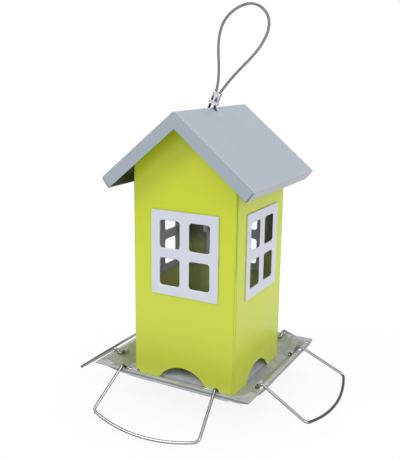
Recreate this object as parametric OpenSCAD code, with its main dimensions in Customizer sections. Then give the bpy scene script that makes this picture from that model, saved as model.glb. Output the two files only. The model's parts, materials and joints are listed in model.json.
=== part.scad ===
// Hanging house-shaped seed feeder of folded sheet metal.
// Millimetres, +Z up. The origin is the middle of the tray's flat underside.
// The front gable wall faces -Y and the roof ridge runs along Y.

/* [House walls] */
// Width and depth of the square house
house_w = 100; // [96:1:106]
// Sheet thickness of the painted walls
wall_t = 0.8; // [0.6:0.1:1.2]
// Outside radius of the folded wall corners
wall_bend_r = 2.5; // [2:0.1:4]
// Height of the feeding arch above the tray floor
arch_h = 13.4; // [10:0.2:16]
// Half width of the feeding arch at its foot
arch_half_w = 24; // [18:0.5:26]
// Radius that rounds the arch into its foot
arch_foot_r = 3; // [1:0.5:4]
// Half width of the blunt tip of each gable, inside the folded ridge
peak_cut = 1.5; // [1:0.1:4]

/* [Windows] */
// Width of a window frame
frame_w = 64.4; // [60:0.2:68]
// Height of a window frame
frame_h = 74.9; // [68:0.1:78]
// Height of the window's middle above the tray underside
window_z = 117.8; // [112:0.2:120]
// How far the front window sits to the right of its wall's middle
front_window_s = 1.4; // [-2:0.1:2]
// Sheet thickness of a window frame
frame_t = 1.2; // [0.8:0.1:1.6]
// Width of the frame's side stiles
frame_stile = 8.1; // [7:0.1:10]
// Height of the frame's top and bottom rails
frame_rail = 8.7; // [7:0.1:10]
// Width of the bars that cross in the middle
muntin_w = 9; // [7:0.1:11]
// Corner radius of the four openings
pane_r = 2.6; // [1:0.1:4]
// Width of the bevel round each opening
pane_bevel = 0.5; // [0.2:0.1:0.8]
// How far the wall reaches in behind the frame's outer edge
wall_lap = 2.2; // [1.6:0.1:3]
// Height of the frame's side tabs
tab_h = 7; // [5:0.5:9]
// Sheet thickness of the frame's side tabs
tab_t = 0.8; // [0.6:0.1:1]
// How far a clinched tab reaches over the clear pane
tab_reach = 4; // [3:0.5:5]
// Width of a clear pane behind the wall
clear_w = 70.8; // [66:0.2:74]
// Height of a clear pane behind the wall
clear_h = 78.8; // [76:0.2:84]
// Thickness of a clear pane
pane_t = 1; // [0.8:0.1:1.5]

/* [Roof] */
// Height of the ridge above the tray underside
ridge_z = 239.7; // [225:0.5:245]
// Roof pitch in degrees
roof_pitch = 39.6; // [36:0.2:42]
// Half the roof's span, to the eave's top edge
roof_half = 71.2; // [66:0.2:76]
// Length of the roof along the ridge
roof_len = 133; // [126:1:140]
// Sheet thickness of the roof
roof_t = 0.8; // [0.6:0.1:1.2]
// Depth of the roof's edge flanges, square to the slope
flange_d = 11; // [8:0.5:13]
// Outside radius of the folded ridge
ridge_bend_r = 2.2; // [2:0.1:5]
// Outside radius of the folded eaves
eave_bend_r = 1.6; // [1.2:0.1:2.5]
// Open seam at each corner of the roof's flanges
roof_seam = 0.8; // [0.4:0.1:1.5]

/* [Tray] */
// Half width of the square tray
tray_half = 76; // [72:0.5:80]
// Half width of the tray's flat floor
floor_half = 60; // [58:0.5:62]
// Half width of the tray at the top of its sloping sides
slope_half = 72.5; // [70:0.5:73]
// Height of the rim above the tray underside
rim_z = 13.3; // [12:0.1:15]
// Sheet thickness of the tray
tray_t = 0.8; // [0.6:0.1:1.2]
// Half length of the floor's straight sides
floor_side = 48.5; // [48:0.5:52]
// Distance from a side's middle to where its slope ends at the rim, at the end with the rivet
rim_side = 49.5; // [49:0.5:53]
// Distance from a side's middle to where its slope ends at the rim, at the other end
rim_far = 63; // [50:0.5:64]
// Depth of the turned-down hem
hem_d = 3.4; // [3:0.1:6]
// Distance from a side's middle to the end of the hem's full depth, at its long end
hem_long = 66; // [62:0.5:68]
// Depth of the hem at the tip of its long end
hem_tip_d = 1.6; // [1:0.1:2.6]
// Distance from a side's middle to the end of the hem's full depth, at its short end
hem_short = 50; // [46:0.5:56]
// Distance from a side's middle at which the short end tapers out
hem_short_end = 62; // [58:0.5:68]
// Size of the blunt cut on each tip of the rim
tip_cut = 0.8; // [0.5:0.1:4]
// Length of the drain slot beside each tip of the rim
drain_l = 4.6; // [3:0.2:6]
// Width of the drain slots
drain_w = 1.8; // [1.4:0.1:2]

/* [Seed deflector] */
// Slope of the deflector in degrees
deflector_pitch = 28; // [22:0.5:34]
// Height of the deflector's upright skirt
skirt_h = 2; // [1.5:0.1:3]
// Sheet thickness of the deflector
deflector_t = 0.6; // [0.5:0.1:1]

/* [Perches] */
// Diameter of the perch wire
wire_d = 2.5; // [2:0.1:3]
// Half the distance between the two arms at the rim
arm_s = 45.7; // [44:0.1:47]
// Half the distance between the arms at the outer corners
corner_s = 50.8; // [49:0.1:52]
// Length of an arm from the rim to the outer corner
arm_len = 47; // [40:0.2:50]
// How far the crossbar bows out past the corners
bow = 8.5; // [6:0.1:12]
// Bend radius at the outer corners
corner_bend = 5; // [4:0.5:8]
// Bend radius over the rim and at the pins
wire_bend = 3; // [2.6:0.1:4]
// Tilt of the front perch below level, in degrees
front_tilt = 36.6; // [24:0.1:38]
// Tilt of the right perch below level, in degrees
right_tilt = 27.3; // [24:0.1:38]
// Tilt of the back perch below level, in degrees
back_tilt = 30; // [24:0.1:38]
// Tilt of the left perch below level, in degrees
left_tilt = 35; // [24:0.1:38]
// Side play of a perch between its knuckles
side_play = 2.2; // [0.4:0.1:2.4]
// Place of the front perch within its side play
front_perch_s = -1.3; // [-2:0.1:2]
// Place of the right perch within its side play
right_perch_s = -0.9; // [-2:0.1:2]
// Place of the back perch within its side play
back_perch_s = 0; // [-2:0.1:2]
// Place of the left perch within its side play
left_perch_s = 0.6; // [-2:0.1:2]
// Distance of the hinge pins from the tray's middle
pin_r = 68.4; // [68:0.1:68.8]
// Distance from the pins out to the bend over the rim
rim_reach = 5.4; // [5.2:0.1:5.8]
// Length of each hinge knuckle
knuckle_l = 6; // [4:0.5:8]
// Radial running clearance of the pins in their knuckles
pin_clear = 0.06; // [0.02:0.01:0.1]
// Width of the slot in the rim under each perch arm
slot_w = 6.4; // [4:0.2:7]
// Depth of the slots, in from the hem
slot_d = 3.2; // [2:0.1:3.4]
// Gap between the resting wire and the sheet below it
rest_gap = 0.3; // [0.2:0.05:0.5]

/* [Hanger] */
// Diameter of the steel cable
cable_d = 2.4; // [2:0.1:2.4]
// How far the roof and the cable lift for filling
lift = 42; // [30:1:44]
// Diameter of the cable holes in the roof and the strap
cable_hole_d = 3.4; // [3.2:0.1:3.8]
// Half the distance between the two cable legs
leg_x = 3.25; // [3:0.05:3.4]
// Distance from the ridge down to the strap's underside
strap_drop = 51.1; // [50.8:0.1:56]
// Width of the strap
strap_w = 14; // [10:0.5:18]
// Sheet thickness of the strap
strap_t = 1.2; // [0.8:0.1:1.6]
// Length of the strap's turned-down ends
strap_ear = 12; // [10:0.5:16]
// Diameter of the stops crimped on the cable ends
stop_d = 5.4; // [4.6:0.1:5.8]
// Length of the stops
stop_l = 10; // [8:0.5:14]
// Length of the crimp sleeve that closes the loop
sleeve_l = 11; // [9:0.5:11.2]
// Diameter of each barrel of the crimp sleeve
barrel_d = 4.8; // [4.2:0.1:5.2]
// Depth of the waist pressed into each barrel
waist = 0.4; // [0.2:0.05:0.5]
// Thickness of the web between the two barrels
web_t = 2.9; // [2.4:0.1:3.4]

/* [Fasteners] */
// Shank diameter of the rivets
rivet_d = 3; // [2.4:0.1:3.4]
// Head diameter of the rivets
rivet_head_d = 5.6; // [4.6:0.1:6.4]
// Head height of the rivets
rivet_head_h = 1; // [0.6:0.1:1.4]
// Width of the seam flange inside the back left corner
seam_w = 11; // [9:0.5:13]
// Distance of the seam rivets from the back corner
seam_inset = 6.2; // [5:0.1:8]
// Length of the wall feet that rest on the tray floor
foot_l = 10; // [8:0.5:12]
// Width of the wall feet
foot_w = 12; // [9:0.5:13]
// Distance of the wall feet from the middle of their wall
foot_s = 37; // [35:0.5:39]

/* [Hidden] */

smooth = 64;
eps = 0.01;

// Sides of the house, as turns about Z of something that faces +X
RIGHT = 0;
BACK = 90;
LEFT = 180;
FRONT = 270;

// Small fits and gaps
seat_gap = 0.3;
slot_gap = 0.4;
stop_gap = 0.3;
bore_gap = 0.1;
notch_gap = 0.3;
deflector_gap = wall_t + 0.2;
drain_gap = 0.8;

half = house_w / 2;
inner = half - wall_t;
house_z = tray_t;
roof_under_z = ridge_z - (roof_t + seat_gap) / cos(roof_pitch);
arch_r = (arch_half_w * arch_half_w + arch_h * arch_h) / (2 * arch_h);

pane_w = (frame_w - 2 * frame_stile - muntin_w) / 2;
pane_h = (frame_h - 2 * frame_rail - muntin_w) / 2;
opening_w = frame_w - 2 * wall_lap;
opening_h = frame_h - 2 * wall_lap;

slope_angle = atan2(rim_z - tray_t, slope_half - floor_half);
slot_out = tray_half - tray_t - 0.2;
// Places beside the corners, across and along the +X side
TRAY_RIVET = [72, -57.3];
DRAIN = [tray_half - tray_t - drain_gap - drain_w / 2, 65.3];

// The perch pins run in two knuckles. An arm leaves its pin a little flatter than the slope.
wire_r = wire_d / 2;
arm_ease = 0.5;
crown_straight = 1.5;
pin_out = 0.8;
pin_z = slope_z(pin_r) + (wire_r + rest_gap) / cos(slope_angle);
over_r = pin_r + rim_reach;
over_z = pin_z + rim_reach * tan(slope_angle - arm_ease);
knuckle_end = arm_s - wire_bend - side_play;
pin_in = knuckle_end - knuckle_l - side_play - 0.5;

deflector_half = inner - deflector_gap;
deflector_rise = deflector_half * tan(deflector_pitch);
foot_x = inner - foot_l / 2;
strap_z = ridge_z - strap_drop;
strap_rivet_z = strap_z - strap_ear / 2 + strap_t / 2;
seam_y = inner - seam_inset;
SEAM_RIVET_Z = [30, 95, 165];
cable_r = cable_d / 2;
stop_z = strap_z - lift - stop_gap - stop_l;
stop_floor = 1;
cable_end_z = stop_z + stop_floor + 0.2;

// The cable's middle line lies in the XZ plane, and its heights here are above the ridge.
// It climbs the left leg, passes the sleeve and the loop, and comes down the right leg.
LEFT_BARREL = [[-1.7, 2.4], [3.7, 14.2]];
RIGHT_BARREL = [[2.4, 0.5], [7.8, 12.3]];
LOOP = [
    [5, 19.3], [5.6, 25.3], [5.8, 31.3], [5.4, 40.3], [5, 49.3], [5.6, 57.8], [7.2, 64.8],
    [10, 70.8], [14.3, 75.9], [20, 80.1], [26.5, 82.9], [33.3, 84.1], [39.5, 82.9],
    [45, 79.4], [48.8, 74.5], [50.4, 68.3], [49.4, 61.3], [46, 54.3], [41.5, 47.7],
    [35.3, 40.9], [27.8, 33.9], [20.8, 27.1], [14.4, 20.3], [10, 15.1]
];
LEG = [[leg_x, -7.7], [leg_x, -30], [leg_x, -60], [leg_x, cable_end_z - ridge_z]];
ROUTE = concat(
    [for (i = [len(LEG) - 1:-1:0]) [-LEG[i].x, LEG[i].y]],
    [[-leg_x, -1.1]], LEFT_BARREL,
    LOOP,
    [RIGHT_BARREL[1], RIGHT_BARREL[0], [leg_x, -3.1]],
    LEG
);
sleeve_tilt = atan2(LEFT_BARREL[1].x - LEFT_BARREL[0].x, LEFT_BARREL[1].y - LEFT_BARREL[0].y);
sleeve_mid = (LEFT_BARREL[0] + LEFT_BARREL[1] + RIGHT_BARREL[0] + RIGHT_BARREL[1]) / 4;
barrel_x = norm(LEFT_BARREL[0] - RIGHT_BARREL[0]) / 2;

function unit(v) = v / norm(v);

// Points of an arc that rounds the corner at q, between p and s, with radius r
function rounded(p, q, s, r, n) =
    let (
        u = unit(p - q),
        w = unit(s - q),
        half_angle = acos(u * w) / 2,
        c = q + unit(u + w) * r / sin(half_angle),
        from = unit(q + u * r / tan(half_angle) - c),
        sweep = 180 - 2 * half_angle
    )
    [for (i = [0:n]) c + r * (cos(sweep * i / n) * from - sin(sweep * i / n) * u)];

// Point of a path moved sideways by d, to the left of its direction
function moved(path, i, d) =
    let (
        last = len(path) - 1,
        before = unit(path[max(i, 1)] - path[max(i, 1) - 1]),
        after = unit(path[min(i, last - 1) + 1] - path[min(i, last - 1)]),
        n0 = [-before.y, before.x],
        n1 = [-after.y, after.x],
        m = unit(n0 + n1)
    )
    path[i] + m * d / (m * n0);

// Outline of a sheet of thickness t on the left of a path
function sheet(path, t) = concat(
    path,
    [for (i = [len(path) - 1:-1:0]) moved(path, i, t)]
);

// Roof outline from the right eave over the ridge to the left eave, with rounded folds
function roof_path(lip) =
    let (
        run = roof_half,
        eave = [run, ridge_z - run * tan(roof_pitch)],
        tip = eave - lip * [sin(roof_pitch), cos(roof_pitch)],
        top = [0, ridge_z]
    )
    concat(
        [tip],
        rounded(tip, eave, top, eave_bend_r, 6),
        rounded(eave, top, [-eave.x, eave.y], ridge_bend_r, 8),
        rounded(top, [-eave.x, eave.y], [-tip.x, tip.y], eave_bend_r, 6),
        [[-tip.x, tip.y]]
    );

module on_side(turn) {
    rotate([0, 0, turn]) children();
}

// Something drawn in the XY plane, stood up against the +X side: x along the wall, y up
module upright(x, t) {
    translate([x, 0, 0]) rotate([90, 0, 90]) linear_extrude(t) children();
}

// Closed tube of n-sided rings
module tube(rings, sides) {
    n = len(rings) / sides;
    walls = [
        for (i = [0:n - 2], k = [0:sides - 1])
            let (a = i * sides + k, b = i * sides + (k + 1) % sides)
            [a, b, b + sides, a + sides]
    ];
    first = [[for (k = [sides - 1:-1:0]) k]];
    last = [[for (k = [0:sides - 1]) (n - 1) * sides + k]];
    polyhedron(points = rings, faces = concat(walls, first, last), convexity = 10);
}

// Round wire through the points of a path in space. The path never runs along the vector up.
module wire(path, up, r, sides) {
    last = len(path) - 1;
    rings = [
        for (i = [0:last])
            let (
                before = unit(path[max(i, 1)] - path[max(i, 1) - 1]),
                after = unit(path[min(i, last - 1) + 1] - path[min(i, last - 1)]),
                along = unit(before + after),
                x = unit(cross(along, up)),
                y = cross(x, along)
            )
            for (k = [0:sides - 1])
                let (a = 360 * (k + 0.5) / sides)
                path[i] + r * (cos(a) * x + sin(a) * y)
    ];
    tube(rings, sides);
}

// Round cable through the points of a flat route in the XZ plane
module cable(route, r, sides) {
    tube([
        for (i = [0:len(route) - 1], k = [0:sides - 1])
            let (
                a = -360 * (k + 0.5) / sides,
                p = moved(route, i, r * cos(a))
            )
            [p.x, r * sin(a), p.y]
    ], sides);
}

// Rivet along +X through a stack from x = 0 to x = grip, with a head on its far face
module flush_rivet(grip, d, head_d, head_h) {
    rotate([0, 90, 0]) {
        cylinder(h = grip, d = d, $fn = smooth);
        translate([0, 0, grip]) cylinder(h = head_h, d = head_d, $fn = smooth);
    }
}

// The same with a head on both faces
module rivet(grip, d, head_d, head_h) {
    flush_rivet(grip, d, head_d, head_h);
    rotate([0, -90, 0]) cylinder(h = head_h, d = head_d, $fn = smooth);
}

// House walls

// Outline of the front and back walls as seen along Y
module gable_outline() {
    eave = roof_under_z - half * tan(roof_pitch);
    top = roof_under_z - peak_cut * tan(roof_pitch);
    polygon([
        [-half, house_z], [half, house_z], [half, eave],
        [peak_cut, top], [-peak_cut, top], [-half, eave]
    ]);
}

module rounded_square(w, r) {
    c = w / 2;
    corners = [[c, c], [-c, c], [-c, -c], [c, -c]];
    polygon([for (i = [0:3]) each rounded(corners[(i + 3) % 4], corners[i], corners[(i + 1) % 4], r, 6)]);
}

// Feeding arch at the foot of a wall, with rounded feet
module arch_outline() {
    c = house_z + arch_h - arch_r;
    foot = [arch_half_w, house_z];
    side_angle = atan2(house_z - c, arch_half_w);
    side = arch_r * [cos(side_angle + 14), sin(side_angle + 14)] + [0, c];
    out = foot + [arch_foot_r, 0];
    flare = rounded(side, foot, out, arch_foot_r, 6);
    top = [for (i = [0:24]) let (a = side_angle + 14 + (152 - 2 * side_angle) * i / 24)
        [arch_r * cos(a), c + arch_r * sin(a)]];
    polygon(concat(
        [[-out.x, house_z - 1], [out.x, house_z - 1], out],
        [for (i = [len(flare) - 1:-1:0]) flare[i]],
        top,
        [for (p = flare) [-p.x, p.y]],
        [[-out.x, out.y]]
    ));
}

// Sideways place of a side's window
function window_s(turn) = turn == FRONT ? front_window_s : 0;

// Opening behind a window frame, with a notch on each side for the frame's tab
module window_cut(turn) {
    notch_w = frame_w + 2 * slot_gap;
    notch_h = tab_h + 2 * slot_gap;
    translate([window_s(turn), window_z]) {
        square([opening_w, opening_h], center = true);
        square([notch_w, notch_h], center = true);
    }
}

module foot() {
    translate([inner - foot_l, -foot_w / 2, house_z]) cube([foot_l + wall_t / 2, foot_w, wall_t]);
}

module house_walls() {
    color([0.76, 0.83, 0.25]) difference() {
        union() {
            intersection() {
                difference() {
                    translate([0, 0, house_z])
                        linear_extrude(ridge_z) rounded_square(house_w, wall_bend_r);
                    translate([0, 0, house_z - 1])
                        linear_extrude(ridge_z + 2)
                        rounded_square(house_w - 2 * wall_t, wall_bend_r - wall_t);
                }
                translate([0, half + 1, 0])
                    rotate([90, 0, 0]) linear_extrude(house_w + 2) gable_outline();
            }
            for (turn = [RIGHT, LEFT], s = [-foot_s, foot_s])
                on_side(turn) translate([0, s, 0]) foot();
            translate([-inner - wall_t / 2, inner - seam_w, house_z + wall_t])
                cube([1.5 * wall_t, seam_w, strap_z - strap_ear]);
        }
        for (turn = [RIGHT, BACK, LEFT, FRONT])
            on_side(turn) {
                upright(inner - 1, wall_t + 2) window_cut(turn);
                upright(inner - eps, wall_t + 1) arch_outline();
            }
        for (turn = [RIGHT, LEFT], s = [-foot_s, foot_s])
            on_side(turn) translate([foot_x, s, house_z - 1]) cylinder(h = 4, d = rivet_d, $fn = smooth);
        for (turn = [RIGHT, LEFT])
            on_side(turn) translate([inner - 1, 0, strap_rivet_z])
                rotate([0, 90, 0]) cylinder(h = 4, d = rivet_d, $fn = smooth);
        for (z = SEAM_RIVET_Z)
            translate([-half - 1, seam_y, z]) rotate([0, 90, 0]) cylinder(h = 4, d = rivet_d, $fn = smooth);
    }
}

// Windows

module rounded_rect(w, h, r) {
    c = [w / 2, h / 2];
    corners = [c, [-c.x, c.y], -c, [c.x, -c.y]];
    polygon([for (i = [0:3]) each rounded(corners[(i + 3) % 4], corners[i], corners[(i + 1) % 4], r, 6)]);
}

// One clinched tab of a window frame, on the +Y side of a frame that faces +X
module frame_tab() {
    x = inner - pane_t - tab_t;
    y = frame_w / 2 - tab_t;
    z = window_z - tab_h / 2;
    translate([x, y, z]) cube([half + frame_t / 2 - x, tab_t, tab_h]);
    translate([x, y - tab_reach, z]) cube([tab_t, tab_reach + tab_t, tab_h]);
}

module window_frame(turn) {
    step = pane_w + muntin_w;
    rise = pane_h + muntin_w;
    on_side(turn) translate([0, window_s(turn), 0]) {
        difference() {
            translate([half, -frame_w / 2, window_z - frame_h / 2]) cube([frame_t, frame_w, frame_h]);
            for (s = [-0.5, 0.5], k = [-0.5, 0.5])
                translate([0, s * step, window_z + k * rise]) {
                    upright(half - 1, frame_t + 2) rounded_rect(pane_w, pane_h, pane_r);
                    upright(half + frame_t - pane_bevel, 2)
                        rounded_rect(pane_w + 2 * pane_bevel, pane_h + 2 * pane_bevel, pane_r + pane_bevel);
                }
        }
        frame_tab();
        mirror([0, 1, 0]) frame_tab();
    }
}

// Clear sheet behind a window, notched on both sides for the frame's tabs
module clear_pane(turn) {
    notch_x = frame_w / 2 - tab_t - slot_gap;
    notch_h = tab_h + 2 * slot_gap;
    on_side(turn) upright(inner - pane_t, pane_t) translate([window_s(turn), window_z]) difference() {
        square([clear_w, clear_h], center = true);
        for (s = [-1, 1])
            translate([s * (notch_x + clear_w / 2), 0]) square([clear_w, notch_h], center = true);
    }
}

module front_window_frame() { color([0.85, 0.87, 0.92]) window_frame(FRONT); }
module right_window_frame() { color([0.85, 0.87, 0.92]) window_frame(RIGHT); }
module back_window_frame() { color([0.85, 0.87, 0.92]) window_frame(BACK); }
module left_window_frame() { color([0.85, 0.87, 0.92]) window_frame(LEFT); }

module front_pane() { color([0.85, 0.9, 0.9, 0.4]) clear_pane(FRONT); }
module right_pane() { color([0.85, 0.9, 0.9, 0.4]) clear_pane(RIGHT); }
module back_pane() { color([0.85, 0.9, 0.9, 0.4]) clear_pane(BACK); }
module left_pane() { color([0.85, 0.9, 0.9, 0.4]) clear_pane(LEFT); }

// Tray

// Eight-cornered ring of points: a square of half width r. Each side is straight from -s to f.
function ring8(r, s, f, z) = [
    [r, -s, z], [r, f, z], [s, r, z], [-f, r, z], [-r, s, z], [-r, -f, z], [-s, -r, z], [f, -r, z]
];

// Dish between two rings. Its flat sides have four corners, and each corner gusset is folded once.
module dish(low, high) {
    polyhedron(
        points = concat(low, high),
        faces = concat(
            [[0, 1, 2, 3, 4, 5, 6, 7], [15, 14, 13, 12, 11, 10, 9, 8]],
            [for (i = [0:2:6]) [i, i + 8, i + 9, i + 1]],
            [for (i = [1:2:7]) let (j = (i + 1) % 8) each [[i, i + 8, j], [j, i + 8, j + 8]]]
        )
    );
}

// Half width and straight lengths of the dish at height z
function dish_r(z) = floor_half + (slope_half - floor_half) * (z - tray_t) / (rim_z - tray_t);
function dish_s(z) = floor_side + (rim_side - floor_side) * (z - tray_t) / (rim_z - tray_t);
function dish_f(z) = floor_side + (rim_far - floor_side) * (z - tray_t) / (rim_z - tray_t);
// Height of a side's sloping face at the distance x from the middle
function slope_z(x) = tray_t + (x - floor_half) * tan(slope_angle);

// Hem that hangs from the rim on the +X side. It tapers out at one end and runs on to the tip at the other.
module hem() {
    tip = tray_half - tip_cut;
    upright(tray_half - tray_t, tray_t)
        polygon([
            [-hem_short_end, rim_z], [-hem_short_end, rim_z - tray_t], [-hem_short, rim_z - hem_d],
            [hem_long, rim_z - hem_d], [tip, rim_z - hem_tip_d], [tip, rim_z]
        ]);
}

// Places something on the hinge line of the +X side
module at_pins() {
    translate([pin_r, 0, pin_z]) children();
}

module knuckle(s) {
    at_pins() translate([0, s, 0]) rotate([-90, 0, 0])
        cylinder(h = knuckle_l, r = wire_r + pin_clear + tray_t, $fn = smooth);
}

// Everything that is cut from one side of the tray for the perch
module perch_cuts() {
    for (s = [-1, 1])
        translate([slot_out - slot_d / 2, s * arm_s, rim_z]) cube([slot_d, slot_w, 4 * tray_t], center = true);
    at_pins() rotate([90, 0, 0])
        cylinder(h = 2 * arm_s, r = wire_r + pin_clear, center = true, $fn = smooth);
}

module tray_rivet_place() {
    translate([TRAY_RIVET.x, TRAY_RIVET.y, rim_z - tray_t]) children();
}

// Round-ended slot along the +X side, cut down through the rim
module drain_slot() {
    straight = drain_l - drain_w;
    h = 3 * tray_t;
    translate([DRAIN.x, DRAIN.y, rim_z - 2 * tray_t]) {
        translate([-drain_w / 2, -straight / 2, 0]) cube([drain_w, straight, h]);
        for (s = [-0.5, 0.5]) translate([0, s * straight, 0]) cylinder(h = h, d = drain_w, $fn = smooth);
    }
}

module seed_tray() {
    skin = tray_t / sin(slope_angle) - tray_t / tan(slope_angle);
    top_z = rim_z + tray_t;
    cut_z = rim_z + 2;
    color([0.65, 0.68, 0.68]) difference() {
        union() {
            dish(
                ring8(floor_half + skin, floor_side, floor_side, 0),
                ring8(dish_r(top_z) + skin, dish_s(top_z), dish_f(top_z), rim_z)
            );
            translate([0, 0, rim_z - tray_t]) linear_extrude(tray_t) rim_outline();
            for (turn = [RIGHT, BACK, LEFT, FRONT])
                on_side(turn) {
                    hem();
                    knuckle(knuckle_end - knuckle_l);
                    knuckle(-knuckle_end);
                }
        }
        difference() {
            dish(
                ring8(floor_half, floor_side, floor_side, tray_t),
                ring8(dish_r(cut_z), dish_s(cut_z), dish_f(cut_z), cut_z)
            );
            for (turn = [RIGHT, BACK, LEFT, FRONT])
                on_side(turn) {
                    knuckle(knuckle_end - knuckle_l);
                    knuckle(-knuckle_end);
                }
        }
        for (turn = [RIGHT, BACK, LEFT, FRONT])
            on_side(turn) {
                perch_cuts();
                drain_slot();
                tray_rivet_place() cylinder(h = 3 * tray_t, d = rivet_d, center = true, $fn = smooth);
            }
        for (turn = [RIGHT, LEFT], s = [-foot_s, foot_s])
            on_side(turn) translate([foot_x, s, -1]) cylinder(h = 3, d = rivet_d, $fn = smooth);
    }
}

module rim_outline() {
    t = tray_half;
    c = tray_half - tip_cut;
    polygon([[t, -c], [t, c], [c, t], [-c, t], [-t, c], [-t, -c], [-c, -t], [c, -t]]);
}

// Seed deflector

module pyramid(r, z, rise) {
    polyhedron(
        points = [[r, -r, z], [r, r, z], [-r, r, z], [-r, -r, z], [0, 0, z + rise]],
        faces = [[0, 1, 2, 3], [1, 0, 4], [2, 1, 4], [3, 2, 4], [0, 3, 4]]
    );
}

module seed_deflector() {
    r = deflector_half;
    r_in = r - deflector_t;
    z = tray_t + skirt_h;
    z_in = z - deflector_t / cos(deflector_pitch) + deflector_t * tan(deflector_pitch);
    color([0.62, 0.65, 0.66]) difference() {
        union() {
            translate([-r, -r, tray_t]) cube([2 * r, 2 * r, skirt_h]);
            pyramid(r, z, deflector_rise);
        }
        translate([-r_in, -r_in, tray_t - 1]) cube([2 * r_in, 2 * r_in, z_in - tray_t + 1]);
        pyramid(r_in, z_in, deflector_rise * r_in / r);
        for (turn = [RIGHT, LEFT], s = [-foot_s, foot_s])
            on_side(turn) translate([inner - foot_l, s - foot_w / 2 - notch_gap, 0])
                cube([foot_l, foot_w + 2 * notch_gap, tray_t + wall_t + notch_gap]);
    }
}

// Hanger

module hanger_strap() {
    path = [
        [-inner, strap_z + strap_t - strap_ear],
        [-inner, strap_z + strap_t],
        [inner, strap_z + strap_t],
        [inner, strap_z + strap_t - strap_ear]
    ];
    outline = concat(
        [path[0]],
        rounded(path[0], path[1], path[2], 2 * strap_t, 5),
        rounded(path[1], path[2], path[3], 2 * strap_t, 5),
        [path[3]]
    );
    color([0.6, 0.62, 0.64]) difference() {
        translate([0, strap_w / 2, 0]) rotate([90, 0, 0]) linear_extrude(strap_w)
            polygon(sheet(outline, -strap_t));
        for (s = [-1, 1])
            translate([s * leg_x, 0, strap_z - 1])
                cylinder(h = strap_t + 2, d = cable_hole_d, $fn = smooth);
        for (turn = [RIGHT, LEFT])
            on_side(turn) translate([inner - 2 * strap_t, 0, strap_rivet_z])
                rotate([0, 90, 0]) cylinder(h = 3 * strap_t, d = rivet_d, $fn = smooth);
    }
}

module hanging_cable() {
    color([0.6, 0.6, 0.6]) translate([0, 0, ridge_z]) cable(ROUTE, cable_r, 8);
}

// One barrel of the crimp sleeve with its bands and waist
module barrel(x) {
    band = sleeve_l / 4;
    for (z = [-sleeve_l / 2, sleeve_l / 2 - band])
        translate([x, 0, z]) cylinder(h = band, d = barrel_d, $fn = smooth);
    translate([x, 0, -sleeve_l / 2 + band])
        cylinder(h = sleeve_l - 2 * band, d = barrel_d - 2 * waist, $fn = smooth);
}

module crimp_sleeve() {
    color([0.85, 0.85, 0.88])
        translate([sleeve_mid.x, 0, ridge_z + sleeve_mid.y]) rotate([0, sleeve_tilt, 0]) difference() {
            union() {
                barrel(-barrel_x);
                barrel(barrel_x);
                translate([-barrel_x, -web_t / 2, -sleeve_l / 2]) cube([2 * barrel_x, web_t, sleeve_l]);
            }
            for (s = [-1, 1])
                translate([s * barrel_x, 0, -sleeve_l])
                    cylinder(h = 2 * sleeve_l, r = cable_r + bore_gap, $fn = smooth);
        }
}

module cable_stops() {
    color([0.85, 0.85, 0.88]) for (s = [-1, 1])
        translate([s * leg_x, 0, stop_z]) difference() {
            cylinder(h = stop_l, d = stop_d, $fn = smooth);
            translate([0, 0, stop_floor]) cylinder(h = stop_l, r = cable_r + bore_gap, $fn = smooth);
        }
}

// Roof

module roof() {
    gable_run = roof_half - roof_seam;
    drop = flange_d / cos(roof_pitch);
    lip_run = flange_d * sin(roof_pitch);
    band_end = [gable_run, ridge_z - gable_run * tan(roof_pitch)];
    color([0.68, 0.73, 0.78]) difference() {
        union() {
            translate([0, roof_len / 2, 0]) rotate([90, 0, 0])
                linear_extrude(roof_len) polygon(sheet(roof_path(flange_d), roof_t));
            for (y = [-roof_len / 2 + roof_t, roof_len / 2])
                translate([0, y, 0]) rotate([90, 0, 0]) linear_extrude(roof_t)
                    polygon([
                        band_end - [0, roof_t / 2],
                        [0, ridge_z - roof_t],
                        [-band_end.x, band_end.y - roof_t / 2],
                        [-band_end.x + lip_run, band_end.y - flange_d * cos(roof_pitch)],
                        [0, ridge_z - drop],
                        [band_end.x - lip_run, band_end.y - flange_d * cos(roof_pitch)]
                    ]);
        }
        for (s = [-1, 1])
            translate([s * leg_x, 0, ridge_z - 12]) cylinder(h = 20, d = cable_hole_d, $fn = smooth);
    }
}

// Perches

// A bent wire with two arms, a bowed crossbar and a hinge pin at the end of each arm. It lies at
// the place shift within its side play.
module perch(turn, tilt, shift) {
    out = [cos(tilt), 0, -sin(tilt)];
    up = [sin(tilt), 0, cos(tilt)];
    along = [0, 1, 0];
    pin = [pin_r, 0, pin_z];
    rim = [over_r, 0, over_z];
    end = rim + arm_len * out;
    end_slope = 2 * atan2(bow, corner_s);
    crown = end + corner_s * tan(end_slope) * out;
    corner_turn = 90 - end_slope + asin((corner_s - arm_s) / arm_len);
    crown_bend = (corner_s / cos(end_slope) - corner_bend * tan(corner_turn / 2) - crown_straight)
        / tan(end_slope);
    a = [pin - arm_s * along, rim - arm_s * along, end - corner_s * along];
    b = [pin + arm_s * along, rim + arm_s * along, end + corner_s * along];
    pin_l = arm_s + pin_out - pin_in;
    path = concat(
        [a[0]],
        rounded(a[0], a[1], a[2], wire_bend, 5),
        rounded(a[1], a[2], crown, corner_bend, 6),
        rounded(a[2], crown, b[2], crown_bend, 12),
        rounded(crown, b[2], b[1], corner_bend, 6),
        rounded(b[2], b[1], b[0], wire_bend, 5),
        [b[0]]
    );
    color([0.7, 0.7, 0.7]) on_side(turn) translate([0, shift, 0]) {
        wire(path, up, wire_r, 12);
        for (s = [-1, 1])
            translate(pin + s * (pin_in + pin_l / 2) * along) rotate([90, 0, 0])
                cylinder(h = pin_l, r = wire_r, center = true, $fn = smooth);
    }
}

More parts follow.
